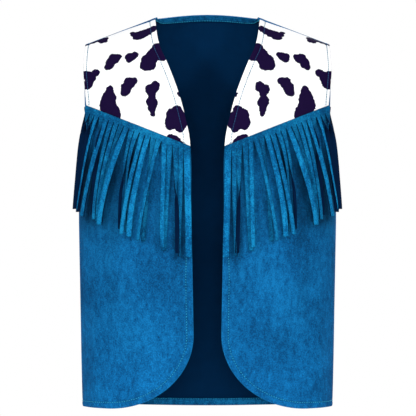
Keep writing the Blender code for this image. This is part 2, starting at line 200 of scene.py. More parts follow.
def finished(material, colour, rough, normal=None, **fixed):
    shader = material.node_tree.nodes["Principled BSDF"]
    for name, value in (("Base Color", colour), ("Roughness", rough), ("Normal", normal)):
        if value is not None:
            material.node_tree.links.new(value, shader.inputs[name])
    for name, value in fixed.items():
        shader.inputs[socketNames[name]].default_value = value
    return material


socketNames = {"specular": "Specular IOR Level", "sheen": "Sheen Weight", "sheenRough": "Sheen Roughness",
               "sheenTint": "Sheen Tint"}
finishes = {
    "suede": {"dark": (0.0012, 0.036, 0.106), "middle": (0.002, 0.064, 0.178),
              "light": (0.0036, 0.102, 0.262), "mottle": 0.8, "specks": 0.8},
    # a lighter copy of the suede: painted light on the fringe strands
    "fringe": {"dark": (0.001, 0.046, 0.128), "middle": (0.0018, 0.086, 0.212),
               "light": (0.0042, 0.145, 0.31), "mottle": 1.0, "specks": 0.4},
    # a darker copy of the suede: painted shade on the hems turned inside the back
    "turned": {"dark": (0.001, 0.03, 0.086), "middle": (0.0015, 0.056, 0.148),
               "light": (0.004, 0.1, 0.23), "mottle": 0.9, "specks": 0.2},
    # the nap's own scales, per metre, and how much each part adds to light and dark
    "nap": {"patches": (16.0, 2.0), "streaks": (190.0, 0.9), "blots": (210.0, 2.1), "grain": (780.0, 3.0),
            "fibre": 2300.0, "cells": 130.0, "rare": 60.0, "speck": (0.0015, 0.02, 0.06)},
    "wrong": {"dark": (0.0001, 0.0105, 0.036), "light": (0.0002, 0.0165, 0.055)},
    # a darker copy of the wrong side: painted shade on the fringe strands' backs and cut edges
    "shadedStrandBack": {"dark": (0.0003, 0.0040, 0.015), "light": (0.0007, 0.0085, 0.033)},
    "print": {"white": (0.66, 0.66, 0.665), "shade": (0.57, 0.58, 0.595), "spot": (0.003, 0.0006, 0.0145),
              "spotLight": (0.006, 0.0015, 0.022), "backing": (0.62, 0.62, 0.66), "ghost": (0.12, 0.1, 0.22)},
    "thread": {"colour": (0.025, 0.31, 0.46), "shade": (0.006, 0.15, 0.26), "onSpot": (0.012, 0.030, 0.095),
               "onWhite": (0.01, 0.10, 0.16)},
    "floor": {"dark": (0.86, 0.86, 0.86), "light": (0.90, 0.90, 0.90)},
}


def buildNap():
    look = finishes["nap"]
    tree, given, made = newTree(
        "suedeNap", "ShaderNodeTree",
        {"Place": "Vector", "Dark": "Color", "Middle": "Color", "Light": "Color", "Mottle": "Float",
         "Specks": "Float"},
        {"Color": "Color", "Roughness": "Float", "Height": "Float"},
    )
    place = given["Place"]
    patches = noise(tree, place, look["patches"][0], 2.0)
    streaks = noise(tree, stretched(tree, place, 0.22), look["streaks"][0], 3.0, 0.6)
    blots = noise(tree, stretched(tree, place, 0.6), look["blots"][0], 4.0, 0.65, 0.4)
    grain = noise(tree, place, look["grain"][0], 3.0, 0.6)
    fibre = noise(tree, place, look["fibre"], 2.0, 0.6)
    tone = 0.0
    for part, name in ((patches, "patches"), (streaks, "streaks"), (blots, "blots"), (grain, "grain")):
        weight = look[name][1]
        tone = sums(tree, "ADD", tone, scaled(tree, part, weight, -weight / 2))
    tone = sums(tree, "MULTIPLY_ADD", tone, given["Mottle"], 0.5)
    shade = mixColour(tree, remap(tree, tone, 0.0, 0.5), given["Dark"], given["Middle"])
    shade = mixColour(tree, remap(tree, tone, 0.5, 1.0), shade, given["Light"])
    cells = result(tree, "ShaderNodeTexVoronoi", {"Vector": place, "Scale": look["cells"]})
    speck = remap(tree, cells, 0.04, 0.17, 1.0, 0.0)
    rare = remap(tree, noise(tree, place, look["rare"], 1.0), 0.54, 0.66)
    speck = sums(tree, "MULTIPLY", sums(tree, "MULTIPLY", speck, rare), given["Specks"])
    tree.links.new(mixColour(tree, speck, shade, look["speck"]), made["Color"])
    tree.links.new(scaled(tree, grain, 0.12, 0.82), made["Roughness"])
    height = sums(tree, "ADD", scaled(tree, grain, 0.6), scaled(tree, fibre, 0.25))
    tree.links.new(sums(tree, "ADD", height, scaled(tree, blots, 0.5)), made["Height"])
    return tree


def suedeCloth(name, look, nap):
    material, tree, place = newMaterial(name)
    sockets = {label.capitalize(): value for label, value in look.items()}
    out = addNode(tree, "ShaderNodeGroup", {"Place": place, **sockets}, node_tree=nap).outputs
    tone, stitched = meshValue(tree, "tone"), meshValue(tree, "stitched")
    toned = result(tree, "ShaderNodeCombineColor", {0: tone, 1: tone, 2: tone})
    # the tone attribute carries painted light and shade: the fringe's shadow on the fronts, lit and shaded
    # strands, the lighter hem turning
    shade = mixColour(tree, 1.0, out["Color"], toned, "MULTIPLY")
    # painted highlight along the folded edges
    foldHighlight = remap(tree, meshValue(tree, "edge"), 0.0, 1.6, 0.45, 0.0)     # lighter on the fold
    shade = mixColour(tree, foldHighlight, shade, look["light"])
    # painted shade in the stitch grooves and along the seams
    shade = mixColour(tree, remap(tree, stitched, 0.0, 1.5, 0.45, 0.0), shade, look["dark"])
    normal = bumped(tree, remap(tree, stitched, 0.0, 1.3), 0.6, 0.0004)
    normal = bumped(tree, out["Height"], 0.55, 0.0005, normal)
    return finished(material, shade, out["Roughness"], normal, specular=0.025, sheen=0.01, sheenRough=0.5,
                    sheenTint=(0.1, 0.5, 1.0, 1))


def wrongSide(name, look):
    material, tree, place = newMaterial(name)
    tone = noise(tree, place, 90.0, 3.0)
    wave = {"Vector": place, "Scale": 260.0, "Distortion": 1.5, "Detail": 1.0, "Detail Scale": 3.0}
    rows = addNode(tree, "ShaderNodeTexWave", wave).outputs["Fac"]
    knit = sums(tree, "MULTIPLY_ADD", rows, 0.25, scaled(tree, tone, 0.75))
    height = sums(tree, "ADD", rows, noise(tree, place, 1200.0))
    shade = mixColour(tree, knit, look["dark"], look["light"])
    return finished(material, shade, scaled(tree, tone, 0.1, 0.85), bumped(tree, height, 0.3, 0.0003),
                    specular=0.02)


def cowPrint(look):
    material, tree, place = newMaterial("cowPrint")
    wobble = scaled(tree, noise(tree, place, 330.0), 2.6, -1.3)
    fuzz = scaled(tree, noise(tree, place, 1500.0), 0.8, -0.4)
    reach = sums(tree, "ADD", sums(tree, "ADD", meshValue(tree, "spots"), wobble), fuzz)
    spot = remap(tree, reach, -0.16, 0.16, 1.0, 0.0)
    pile = noise(tree, stretched(tree, place, 0.35), 700.0, 3.0, 0.6)
    white = mixColour(tree, remap(tree, pile, 0.3, 0.7), look["shade"], look["white"])
    dark = mixColour(tree, pile, look["spot"], look["spotLight"])
    normal = bumped(tree, remap(tree, meshValue(tree, "stitched"), 0.0, 1.3), 0.5, 0.0004)
    normal = bumped(tree, sums(tree, "ADD", pile, scaled(tree, spot, -0.35)), 0.35, 0.0003, normal)
    return finished(material, mixColour(tree, spot, white, dark), scaled(tree, spot, -0.12, 0.8), normal,
                    specular=0.03)


def printBacking(look):
    material, tree, place = newMaterial("printBacking")
    weave = noise(tree, stretched(tree, place, 0.5), 900.0, 3.0)
    ghost = remap(tree, meshValue(tree, "spots"), -1.2, 1.2, 0.35, 0.0)     # the print shows faintly through
    shade = mixColour(tree, ghost, mixColour(tree, weave, look["backing"], look["shade"]), look["ghost"])
    return finished(material, shade, scaled(tree, weave, 0.1, 0.82), bumped(tree, weave, 0.3, 0.0003))


def suedeThread(look):
    material, tree, place = newMaterial("thread")
    twist = noise(tree, place, 2400.0, 1.0)
    shade = mixColour(tree, twist, look["shade"], look["colour"])
    return finished(material, shade, scaled(tree, twist, 0.2, 0.45), bumped(tree, twist, 0.4, 0.0002),
                    specular=0.08)


def printThread(look):
    material, tree, place = newMaterial("printThread")
    twist = noise(tree, place, 2400.0, 1.0)
    clear = remap(tree, meshValue(tree, "spots"), -0.4, 0.4)     # sunk and dull where it crosses a dark patch
    shade = mixColour(tree, clear, look["onSpot"], look["onWhite"])
    shade = mixColour(tree, scaled(tree, twist, 0.3), shade, look["shade"])
    return finished(material, shade, scaled(tree, twist, 0.2, 0.55), specular=0.08)


def floorPaper():
    material, tree, place = newMaterial("floorPaper")
    tone = noise(tree, place, 3.0)
    shade = mixColour(tree, tone, finishes["floor"]["dark"], finishes["floor"]["light"])
    return finished(material, shade, scaled(tree, tone, 0.1, 0.75))


buildStudio()
nap = buildNap()
suede = suedeCloth("suede", finishes["suede"], nap)
litFringeSuede = suedeCloth("litFringeSuede", finishes["fringe"], nap)
shadedTurnedSuede = suedeCloth("shadedTurnedSuede", finishes["turned"], nap)
wrong = wrongSide("wrongSide", finishes["wrong"])
shadedStrandBack = wrongSide("shadedStrandBack", finishes["shadedStrandBack"])
cow = cowPrint(finishes["print"])
backing = printBacking(finishes["print"])
thread = suedeThread(finishes["thread"])
threadOnPrint = printThread(finishes["thread"])
print("finishes ready")


# the worn shape, in mm, heights as drops below the side neck points
torso = {
    # drop, half width, front depth, back depth
    "sections": ((-20, 152, 83, 80), (60, 152, 84, 81), (95, 150, 84.5, 81.5), (130, 144, 85, 82),
                 (165, 138.4, 85, 82), (222, 137.2, 84, 82), (300, 135.8, 83, 82), (380, 134.3, 83, 83),
                 (425, 133, 83.5, 84)),
    "squareness": 2.5,
    "chestDrop": 150.0,
    "roundness": 1.8,
    "neckHalf": 56.0,
    "shoulderTip": 130.8,
    "shoulderDrop": 28.5,
    # distance from the centre, how far the shoulder seam lies forward of the crest
    "seamForward": ((56, 0.130), (66, 0.128), (76, 0.108), (88, 0.078), (104, 0.064), (131, 0.058)),
    "neckDeep": 42.0,
    "neckRise": 7.0,
    "napeClose": -43.0,
    "napeEase": 60.0,
}
cut = {
    # drop, distance from the centre
    "frontEdge": ((0, 56), (13, 54.2), (25, 52.2), (35, 49.2), (46, 44.2), (60, 38.4), (85, 29.3),
                  (111, 22.4), (128, 18.8), (142, 17.4), (200, 16.8), (260, 15.6), (335, 14.2)),
    "cornerTop": 335.0, "cornerWide": 90.4, "cornerTall": 77.8,
    # drop, front, back
    "armhole": ((0, 130.6, 130.6), (28.5, 130.8, 130.8), (43, 131.3, 132.2), (57, 131.5, 133.2),
                (79, 129.4, 133.6), (95, 127.7, 133.4), (112, 127.2, 133.0)),
    "armholeTurn": 112.0, "underarm": 165.0,
    "sideHem": 414.5, "hemDip": 7.0,
    "seamDrop": 139.4, "seamRise": 0.399, "seamFrom": 17.5,
}
# face, where round the half, width, swell at the hem, drop where it fades out
flutes = ((front, 0.66, 0.15, 2.6, 230), (front, 0.84, 0.11, -1.6, 260), (front, 0.38, 0.18, -1.8, 250),
          (back, 0.22, 0.20, 2.2, 220), (back, 0.50, 0.18, -2.0, 200), (back, 0.74, 0.14, 2.2, 240))


def smoothCurve(rows, column=1):
    table = np.array(rows, float)
    at, value = table[:, 0], table[:, column]
    slope = np.gradient(value, at)

    def evaluate(where):
        where = np.clip(where, at[0], at[-1])
        k = np.clip(np.searchsorted(at, where) - 1, 0, len(at) - 2)
        span = at[k + 1] - at[k]
        s = (where - at[k]) / span
        rise = value[k] * (2 * s**3 - 3 * s**2 + 1) + value[k + 1] * (3 * s**2 - 2 * s**3)
        return rise + span * (slope[k] * (s**3 - 2 * s**2 + s) + slope[k + 1] * (s**3 - s**2))

    return evaluate


halfWidth = smoothCurve(torso["sections"], 1)
depthOf = {front: smoothCurve(torso["sections"], 2), back: smoothCurve(torso["sections"], 3)}
frontEdge = smoothCurve(cut["frontEdge"])
armholeEdge = {front: smoothCurve(cut["armhole"], 1), back: smoothCurve(cut["armhole"], 2)}


def power(base, exponent):
    return np.maximum(base, 0.0) ** exponent


def smooth(value, low=0.0, high=1.0):
    t = np.clip((value - low) / (high - low), 0, 1)
    return t * t * (3 - 2 * t)


def neckTop(x):
    return -torso["neckRise"] * (1 - (x / torso["neckHalf"]) ** 2)


def neckRing(x):
    sq, r = torso["squareness"], torso["roundness"]
    top = neckTop(x)
    full = depthOf[back](top) * power(1 - power(x / halfWidth(top), sq), 1 / sq)
    share = torso["neckDeep"] * np.sqrt(np.maximum(1 - (x / torso["neckHalf"]) ** 2, 0.0)) / full
    climb = power(1 - power(share, r), 1 / r)
    return torso["chestDrop"] - (torso["chestDrop"] - top) / climb


def closing(face, x, drop):
    x = np.asarray(x, float)
    slope = torso["shoulderDrop"] / (torso["shoulderTip"] - torso["neckHalf"])
    t = np.clip(x / torso["neckHalf"], 0, 1)
    eased = torso["napeClose"] * (2 * t**3 - 3 * t**2 + 1) + (t**3 - t**2) * torso["neckHalf"] * slope
    if face == back:
        ring = neckRing(np.minimum(x, torso["neckHalf"]))
        eased = ring + (eased - ring) * smooth(drop, 0.0, torso["napeEase"])
    return np.where(x >= torso["neckHalf"], slope * (x - torso["neckHalf"]), eased)


def turnOf(x, drop):
    return np.arcsin(np.clip(x / halfWidth(drop), 0, 1) ** (torso["squareness"] / 2)) * 2 / math.pi


def sideDistance(turn, drop):
    return halfWidth(drop) * power(np.sin(turn * math.pi / 2), 2 / torso["squareness"])


def fluteOf(face, turn, drop):
    out = 0.0
    for rowFace, at, wide, swell, fade in flutes:
        if rowFace == face:
            reach = np.clip((drop - fade) / (cut["sideHem"] - fade), 0, 1)
            out = out + swell * reach**1.5 * np.exp(-(((turn - at) / wide) ** 2) * 2)
    return out * np.clip((1 - turn) / 0.08, 0, 1)


def climbOf(face, x, drop):
    return np.clip((torso["chestDrop"] - drop) / (torso["chestDrop"] - closing(face, x, drop)), 0, 1)


def formPoint(face, turn, drop):
    turn, drop = np.broadcast_arrays(np.asarray(turn, float), np.asarray(drop, float))
    x = sideDistance(turn, drop)
    climb = climbOf(face, x, drop)
    over = power(1 - climb ** torso["roundness"], 1 / torso["roundness"])
    depth = depthOf[face](drop) + fluteOf(face, turn, drop)
    y = face * depth * power(np.cos(turn * math.pi / 2), 2 / torso["squareness"]) * over
    return np.stack([x, y, -drop], axis=-1)


def outward(face, turn, drop):
    step = 0.002
    turn = np.clip(turn, 2 * step, 1 - 2 * step)
    along = formPoint(face, turn + step, drop) - formPoint(face, turn - step, drop)
    up = formPoint(face, turn, drop - 0.5) - formPoint(face, turn, drop + 0.5)
    n = np.cross(along, up) * -face
    return n / np.linalg.norm(n, axis=-1, keepdims=True)


def sideTurn(face, drop):
    drop = np.asarray(drop, float)
    above = turnOf(armholeEdge[face](drop), drop)
    climb = np.clip((cut["underarm"] - drop) / (cut["underarm"] - cut["armholeTurn"]), 0, 1)
    inner = turnOf(armholeEdge[face](cut["armholeTurn"]), drop)
    turning = 1 - (1 - inner) * np.sqrt(1 - (1 - climb) ** 2)
    return np.where(drop >= cut["underarm"], 1.0, np.where(drop <= cut["armholeTurn"], above, turning))


def frontTurn(drop):
    drop = np.asarray(drop, float)
    down = np.clip((drop - cut["cornerTop"]) / cut["cornerTall"], 0, 1)
    x = frontEdge(drop) + cut["cornerWide"] * (1 - np.sqrt(1 - down**2))
    return turnOf(x, drop)


def centreBack(drop):
    return turnOf(0.1, np.asarray(drop, float))


def seamDrop(x):
    return cut["seamDrop"] - cut["seamRise"] * (x - cut["seamFrom"])


def meeting(heightOf, turnAt, start):
    drop = heightOf(start)
    for _ in range(14):
        drop = heightOf(sideDistance(turnAt(drop), drop))
    return drop


def across(face, innerTurn, share):
    return lambda drop: innerTurn(drop) + (sideTurn(face, drop) - innerTurn(drop)) * share


def shoulderHeight(face, turnAt, angle):
    climb = np.sin(angle) ** (2 / torso["roundness"])
    drop = torso["chestDrop"] * (1 - climb)
    for _ in range(14):
        x = sideDistance(turnAt(drop), drop)
        drop = torso["chestDrop"] - climb * (torso["chestDrop"] - closing(face, x, drop))
    return drop


def shoulderAngle(face, x, drop):
    return np.arcsin(climbOf(face, x, drop) ** (torso["roundness"] / 2))


seamForward = smoothCurve(torso["seamForward"])


def seamAngle(x):
    return np.arccos(seamForward(x) ** (torso["roundness"] / 2))


# soft creases: x across the body, lean over its length, top drop, bottom drop, width, how far it stands out
frontCreases = (
    (104, 4, 205, 345, 10, -1.7), (86, -6, 215, 330, 9, 0.7), (124, 2, 200, 400, 6, -0.9),
    (62, 8, 250, 420, 14, 0.9), (116, 3, 300, 425, 5, 0.7), (40, 3, 270, 360, 12, -0.7),
    (130, -1, 170, 300, 5, 0.6), (76, 10, 330, 430, 9, -0.8),
)
backCreases = (
    (18, 10, 215, 420, 13, -1.3), (-30, -8, 240, 430, 16, 1.2), (58, 12, 190, 350, 12, 1.0),
    (-74, -10, 200, 390, 11, -1.4), (92, 6, 230, 430, 10, -1.2), (-104, 4, 260, 425, 9, 1.0),
    (118, 3, 180, 330, 7, 0.8), (-122, -2, 185, 300, 6, -0.8), (2, -4, 30, 120, 20, -0.8),
)
# the two fronts mirror each other
bothSides = [(side * at, side * lean, *rest) for side in (right, left) for at, lean, *rest in frontCreases]
creases = {front: bothSides, back: backCreases}


def creaseAt(face, points):
    x, drop = points[..., 0], -points[..., 2]
    lift = np.zeros_like(x)
    for at, lean, top, bottom, wide, out in creases[face]:
        t = np.clip((drop - top) / (bottom - top), 0, 1)
        lift += out * np.sin(math.pi * t) ** 1.3 * np.exp(-(((x - at - lean * t) / wide) ** 2))
    return lift


def creased(face, points, normals):
    return points + normals * creaseAt(face, points)[..., None]


# making cloth
def onSide(grid, side):
    return grid[:, ::side] * (side, 1.0, 1.0)


def gridNormals(grid, face):
    n = np.cross(np.gradient(grid, axis=1), np.gradient(grid, axis=0)) * -face
    return n / np.maximum(np.linalg.norm(n, axis=2, keepdims=True), 1e-9)


def gridFaces(shape, face, keep=None):
    rows, columns = shape
    index = np.arange(rows * columns).reshape(rows, columns)
    quads = np.stack([index[:-1, :-1], index[:-1, 1:], index[1:, 1:], index[1:, :-1]], axis=-1).reshape(-1, 4)
    if keep is not None:
        quads = quads[keep.reshape(-1)]
    return quads[:, ::-1] if face == back else quads


def lengthAlong(line):
    return np.concatenate([[0.0], np.cumsum(np.linalg.norm(np.diff(line, axis=0), axis=1))])


def evenLine(line, pitch):
    along = lengthAlong(line)
    at = np.linspace(0, along[-1], max(int(along[-1] / pitch) + 1, 2))
    return np.stack([np.interp(at, along, line[:, k]) for k in range(3)], axis=1)


def distanceTo(points, lines):
    flat = points.reshape(-1, 3)
    samples = np.concatenate([evenLine(line, 0.7) for line in lines])
    tree = kdtree.KDTree(len(samples))
    for k, point in enumerate(samples):
        tree.insert(point, k)
    tree.balance()
    return np.array([tree.find(p)[2] for p in flat]).reshape(points.shape[:-1])


def surfaceOf(points, faces):
    return BVHTree.FromPolygons(points.reshape(-1, 3).tolist(), faces.tolist())


def stitchPath(surface, line, insets, middle):
    path = evenLine(line, 1.5)
    run = np.gradient(path, axis=0)
    run /= np.maximum(np.linalg.norm(run, axis=1, keepdims=True), 1e-9)
    depths = np.interp(np.linspace(0, 1, len(path)), np.linspace(0, 1, len(insets)), insets)
    found = []
    for point, along, depth in zip(path, run, depths):
        inward = np.cross(surface.find_nearest(point)[1], along)
        if np.dot(inward, middle - point) < 0:
            inward = -inward
        found.append(surface.find_nearest(point + inward * depth))
    return np.array([near for near, *_ in found]), np.array([normal for _, normal, *_ in found])


far = 9.0     # what a piece says of edges and stitching where it has none


def freeze(piece):
    shown = piece.evaluated_get(bpy.context.evaluated_depsgraph_get())
    mesh = bpy.data.meshes.new_from_object(shown)
    piece.modifiers.clear()
    piece.data = mesh
    mesh.name = piece.name
    return piece


def clothPiece(name, points, faces, materials, wall, values, soft=0.35, rim=0):
    used, corners = np.unique(faces, return_inverse=True)
    corners = corners.reshape(faces.shape)
    mesh = bpy.data.meshes.new(name)
    mesh.from_pydata((points.reshape(-1, 3)[used] * mm).tolist(), [], corners.tolist())
    plain = np.ones(points.shape[:-1])
    for label, data in {"tone": plain, "edge": plain * far, "stitched": plain * far, **values}.items():
        numbers = data.reshape(-1)[used].astype(np.float32)
        mesh.attributes.new(label, "FLOAT", "POINT").data.foreach_set("value", numbers)
    for material in materials:
        mesh.materials.append(material)
    mesh.shade_smooth()
    piece = newObject(name, mesh)
    solid = piece.modifiers.new("wall", "SOLIDIFY")
    solid.thickness = wall * mm
    solid.material_offset = 1
    solid.material_offset_rim = rim
    edge = piece.modifiers.new("soft edge", "BEVEL")
    edge.width = soft * mm
    edge.segments = 2
    edge.limit_method = "ANGLE"
    edge.angle_limit = math.radians(50)
    return freeze(piece)


def dress(piece, slotName, *nodes):
    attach(piece, "root")
    if nodes:
        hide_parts(*nodes)
    print(piece.name, "-", len(piece.data.polygons), "faces")


# topstitching: pitch, length, thickness and height of a stitch
stitching = {"pitch": 2.75, "long": 1.6, "thick": 0.8, "proud": 0.14, "uneven": (0.86, 1.1), "seed": 7}


def stitchTree():
    tree, given, made = newTree(
        "stitchRun", "GeometryNodeTree",
        {"Seam": "Geometry", "Long": "Float", "Thread": "Material"}, {"Stitches": "Geometry"},
    )
    pitch, thick, proud = (stitching[name] * mm for name in ("pitch", "thick", "proud"))
    line = result(tree, "GeometryNodeMeshToCurve", {"Mesh": given["Seam"]})
    run = result(tree, "GeometryNodeResampleCurve", {"Curve": line, "Length": pitch}, mode="LENGTH")
    up = result(tree, "GeometryNodeInputNamedAttribute", {"Name": "clothNormal"}, data_type="FLOAT_VECTOR")
    along = result(tree, "GeometryNodeInputTangent")
    raised = result(tree, "ShaderNodeVectorMath", {0: up, "Scale": proud}, operation="SCALE")
    moved = result(tree, "GeometryNodeSetPosition", {"Geometry": run, "Offset": raised})
    facing = result(tree, "FunctionNodeAlignRotationToVector", {"Vector": along}, axis="X")
    facing = result(tree, "FunctionNodeAlignRotationToVector", {"Rotation": facing, "Vector": up}, axis="Z",
                    pivot_axis="X")
    bead = result(tree, "GeometryNodeMeshUVSphere", {"Segments": 8, "Rings": 5, "Radius": 0.5})
    size = result(tree, "ShaderNodeCombineXYZ", {0: given["Long"], 1: thick, 2: thick})
    low, high = stitching["uneven"]
    uneven = addNode(tree, "FunctionNodeRandomValue", {2: low, 3: high, "Seed": stitching["seed"]},
                     data_type="FLOAT").outputs[1]
    sized = result(tree, "ShaderNodeVectorMath", {0: size, "Scale": uneven}, operation="SCALE")
    placed = result(tree, "GeometryNodeInstanceOnPoints",
                    {"Points": moved, "Instance": bead, "Rotation": facing, "Scale": sized})
    real = result(tree, "GeometryNodeRealizeInstances", {"Geometry": placed})
    coloured = result(tree, "GeometryNodeSetMaterial", {"Geometry": real, "Material": given["Thread"]})
    tree.links.new(coloured, made["Stitches"])
    return tree


def stitchRow(name, paths, slotName, finish, long=stitching["long"]):
    points = np.concatenate([p for p, _ in paths])
    normals = np.concatenate([n for _, n in paths])
    edges, start = [], 0
    for p, _ in paths:
        edges += [(k, k + 1) for k in range(start, start + len(p) - 1)]
        start += len(p)
    mesh = bpy.data.meshes.new(name)
    mesh.from_pydata((points * mm).tolist(), edges, [])
    clothNormal = mesh.attributes.new("clothNormal", "FLOAT_VECTOR", "POINT")
    clothNormal.data.foreach_set("vector", normals.astype(np.float32).ravel())
    piece = newObject(name, mesh)
    run = piece.modifiers.new("stitches", "NODES")
    run.node_group = stitchNodes
    wanted = {"Long": long * mm, "Thread": finish}
    for item in stitchNodes.interface.items_tree:
        if item.in_out == "INPUT" and item.name in wanted:
            run[item.identifier] = wanted[item.name]
    freeze(piece)
    piece.data.shade_smooth()
    dress(piece, slotName)
    return piece


stitchNodes = stitchTree()


# sewing pulls the cloth in: how deep and wide at a stitch line, a fold, its edge and a seam
pull = {"stitch": (-0.32, 1.15), "fold": (0.22, 2.2), "foldAt": 3.2, "edge": (-0.3, 0.7),
        "seam": (-0.75, 1.1)}


def bell(distance, depth, width):
    return depth * np.exp(-((distance / width) ** 2))


def sewn(points, faces, normals, edges, stitchLines, seams):
    surface = surfaceOf(points, faces)
    middle = points.reshape(-1, 3).mean(axis=0)
    paths = [stitchPath(surface, line, insets, middle) for line, insets in stitchLines]
    stitched = distanceTo(points, [p for p, _ in paths])
    edge = distanceTo(points, edges)
    seam = distanceTo(points, seams)
    lift = bell(stitched, *pull["stitch"]) + bell(edge - pull["foldAt"], *pull["fold"])
    lift += bell(edge, *pull["edge"]) + bell(seam, *pull["seam"])
    settled = points + normals * lift[..., None]
    surface = surfaceOf(settled, faces)
    laid = [(np.array([surface.find_nearest(p)[0] for p in line]), up) for line, up in paths]
    return settled, {"stitched": np.minimum(stitched, seam), "edge": edge}, laid


# lower fronts: topstitching lies in from the free edge, from the seam round the corner to the side
lowerFront = {"pitch": 1.35, "edgePitch": 1.2, "clear": 0.9, "wall": 1.5, "gap": 0.03, "armInset": 4.2,
              "edgeInset": (5.5, 5.5, 5.5, 5.5, 7.2, 7.3, 7.2, 7.1, 7.0, 6.7, 6.4, 6.1, 6.0), "flatAt": 300.0,
              # painted shadow of the fringe on the cloth below the seam: how much it darkens and how deep it
              # reaches
              "shadeUnder": 0.72, "shadeDeep": 20.0}
sideLap = 0.15     # front and back pass the side line by this much, so that no light comes through the seam
# painted shade and light on the lower fronts: x, drop, half width, half height, share kept
frontShadeAndLight = (
    # painted shadow under the fringe
    (80, 168, 6, 30, 0.22), (76, 150, 9, 12, 0.35), (60, 143, 12, 8, 0.70), (56, 205, 9, 40, 0.74),
    (97, 205, 9, 34, 0.50), (108, 160, 26, 30, 0.30), (34, 205, 9, 44, 0.62), (30, 240, 6, 22, 0.60),
    (22, 200, 5, 60, 0.45), (30, 160, 16, 14, 0.55), (122, 190, 16, 40, 0.35), (118, 212, 14, 10, 0.62),
    # below it: painted shade and light of soft dents, a lit line along the side edge, lighter towards the hem
    (108, 245, 9, 30, 0.86), (100, 290, 7, 24, 0.90), (60, 300, 16, 20, 1.06), (84, 350, 12, 22, 0.94),
    (40, 320, 9, 34, 1.04), (122, 330, 7, 40, 1.05), (70, 385, 18, 12, 1.05), (116, 395, 12, 14, 0.93),
    (136.4, 270, 1.3, 75, 1.75), (134.6, 385, 1.2, 50, 1.3), (131, 340, 9, 75, 1.13), (30, 268, 8, 16, 0.93),
    (55, 262, 14, 8, 0.95), (92, 268, 10, 12, 1.05), (36, 372, 8, 20, 0.96), (75, 408, 120, 62, 1.26),
    (40, 285, 22, 26, 0.96),
)


def lapped(points, face):
    points[..., 1] = np.where(np.abs(points[..., 1]) < sideLap, -face * sideLap, points[..., 1])
    return points


def arcTable(face, drop):
    turns = np.linspace(0, 1, 80)
    return turns, lengthAlong(formPoint(face, turns, np.full(80, drop)))


def frontOutline():
    flatTurns, flatArcs = arcTable(front, lowerFront["flatAt"])
    shares = np.linspace(0, 1, 120)
    column = across(front, frontTurn, shares)
    seam = meeting(seamDrop, column, np.zeros_like(shares)) + lowerFront["gap"] / 2
    arm = np.linspace(seam[-1], cut["underarm"], 90)
    side = np.linspace(cut["underarm"], cut["sideHem"], 150)
    cornerEnd = cut["cornerTop"] + cut["cornerTall"]
    hemShare = np.linspace(1, 0, 60)
    hem = cornerEnd + (cut["sideHem"] - cornerEnd) * hemShare**2
    hemTurn = frontTurn(cornerEnd) + (1 - frontTurn(cornerEnd)) * hemShare
    corner = cut["cornerTop"] + cut["cornerTall"] * np.sin(np.linspace(math.pi / 2, 0, 120))
    straight = np.linspace(cut["cornerTop"], seam[0], 180)
    parts = {"seam": (column(seam), seam), "arm": (sideTurn(front, arm), arm), "side": (np.ones(150), side),
             "hem": (hemTurn, hem), "corner": (frontTurn(corner), corner),
             "edge": (frontTurn(straight), straight)}
    flat = {}
    for name, (turns, drops) in parts.items():
        line = np.stack([np.interp(turns, flatTurns, flatArcs), drops, np.zeros(len(drops))], axis=1)
        flat[name] = evenLine(line, lowerFront["edgePitch"])
    return flat


def insideOf(points, loop):
    x, y = points[:, 0][:, None], points[:, 1][:, None]
    ax, ay = loop[:, 0][None], loop[:, 1][None]
    bx, by = np.roll(ax, -1), np.roll(ay, -1)
    crossing = (ay > y) != (by > y)
    at = ax + (y - ay) / np.where(by == ay, 1e-9, by - ay) * (bx - ax)
    return (crossing & (x < at)).sum(axis=1) % 2 == 1


def frontPattern():
    flat = frontOutline()
    loop = np.concatenate([line[:-1] for line in flat.values()])
    pitch = lowerFront["pitch"]
    low, high = loop[:, :2].min(axis=0), loop[:, :2].max(axis=0)
    u, v = np.meshgrid(np.arange(low[0], high[0], pitch), np.arange(low[1], high[1], pitch * 0.866))
    u = u + (np.arange(u.shape[0]) % 2)[:, None] * pitch / 2
    inner = np.stack([u.ravel(), v.ravel(), np.zeros(u.size)], axis=1)
    inner = inner[insideOf(inner, loop)]
    inner = inner[distanceTo(inner, [np.concatenate([loop, loop[:1]])]) > lowerFront["clear"]]
    every = np.concatenate([loop, inner])
    made = geometry.delaunay_2d_cdt([Vector(p[:2]) for p in every], [], [list(range(len(loop)))], 1, 1e-5)
    spread = np.array([tuple(p) for p in made[0]])
    lines = {name: onForm(line) for name, line in flat.items()}
    return onForm(spread), np.array([list(f) for f in made[2]]), lines


def onForm(flat):
    flatTurns, flatArcs = arcTable(front, lowerFront["flatAt"])
    return lapped(formPoint(front, np.interp(flat[:, 0], flatArcs, flatTurns), flat[:, 1]), front)


def frontNormals(points):
    x, drop = np.abs(points[..., 0]), -points[..., 2]
    normals = outward(front, turnOf(x, drop), drop)
    normals[..., 0] *= np.where(points[..., 0] < 0, -1.0, 1.0)
    return normals


def frontPaintedShading(points):
    x, drop = np.abs(points[..., 0]), -points[..., 2]
    # painted shadow of the fringe just below the seam, then the painted shade and light patches
    below = np.maximum(drop - seamDrop(x), 0)
    tone = 1 - lowerFront["shadeUnder"] * np.exp(-((below / lowerFront["shadeDeep"]) ** 4))
    for cx, cd, wide, tall, kept in frontShadeAndLight:
        reach = np.exp(-((((x - cx) / wide) ** 2 + ((drop - cd) / tall) ** 2) ** 1.5))
        tone = tone * (1 - reach * (1 - kept))
    return tone


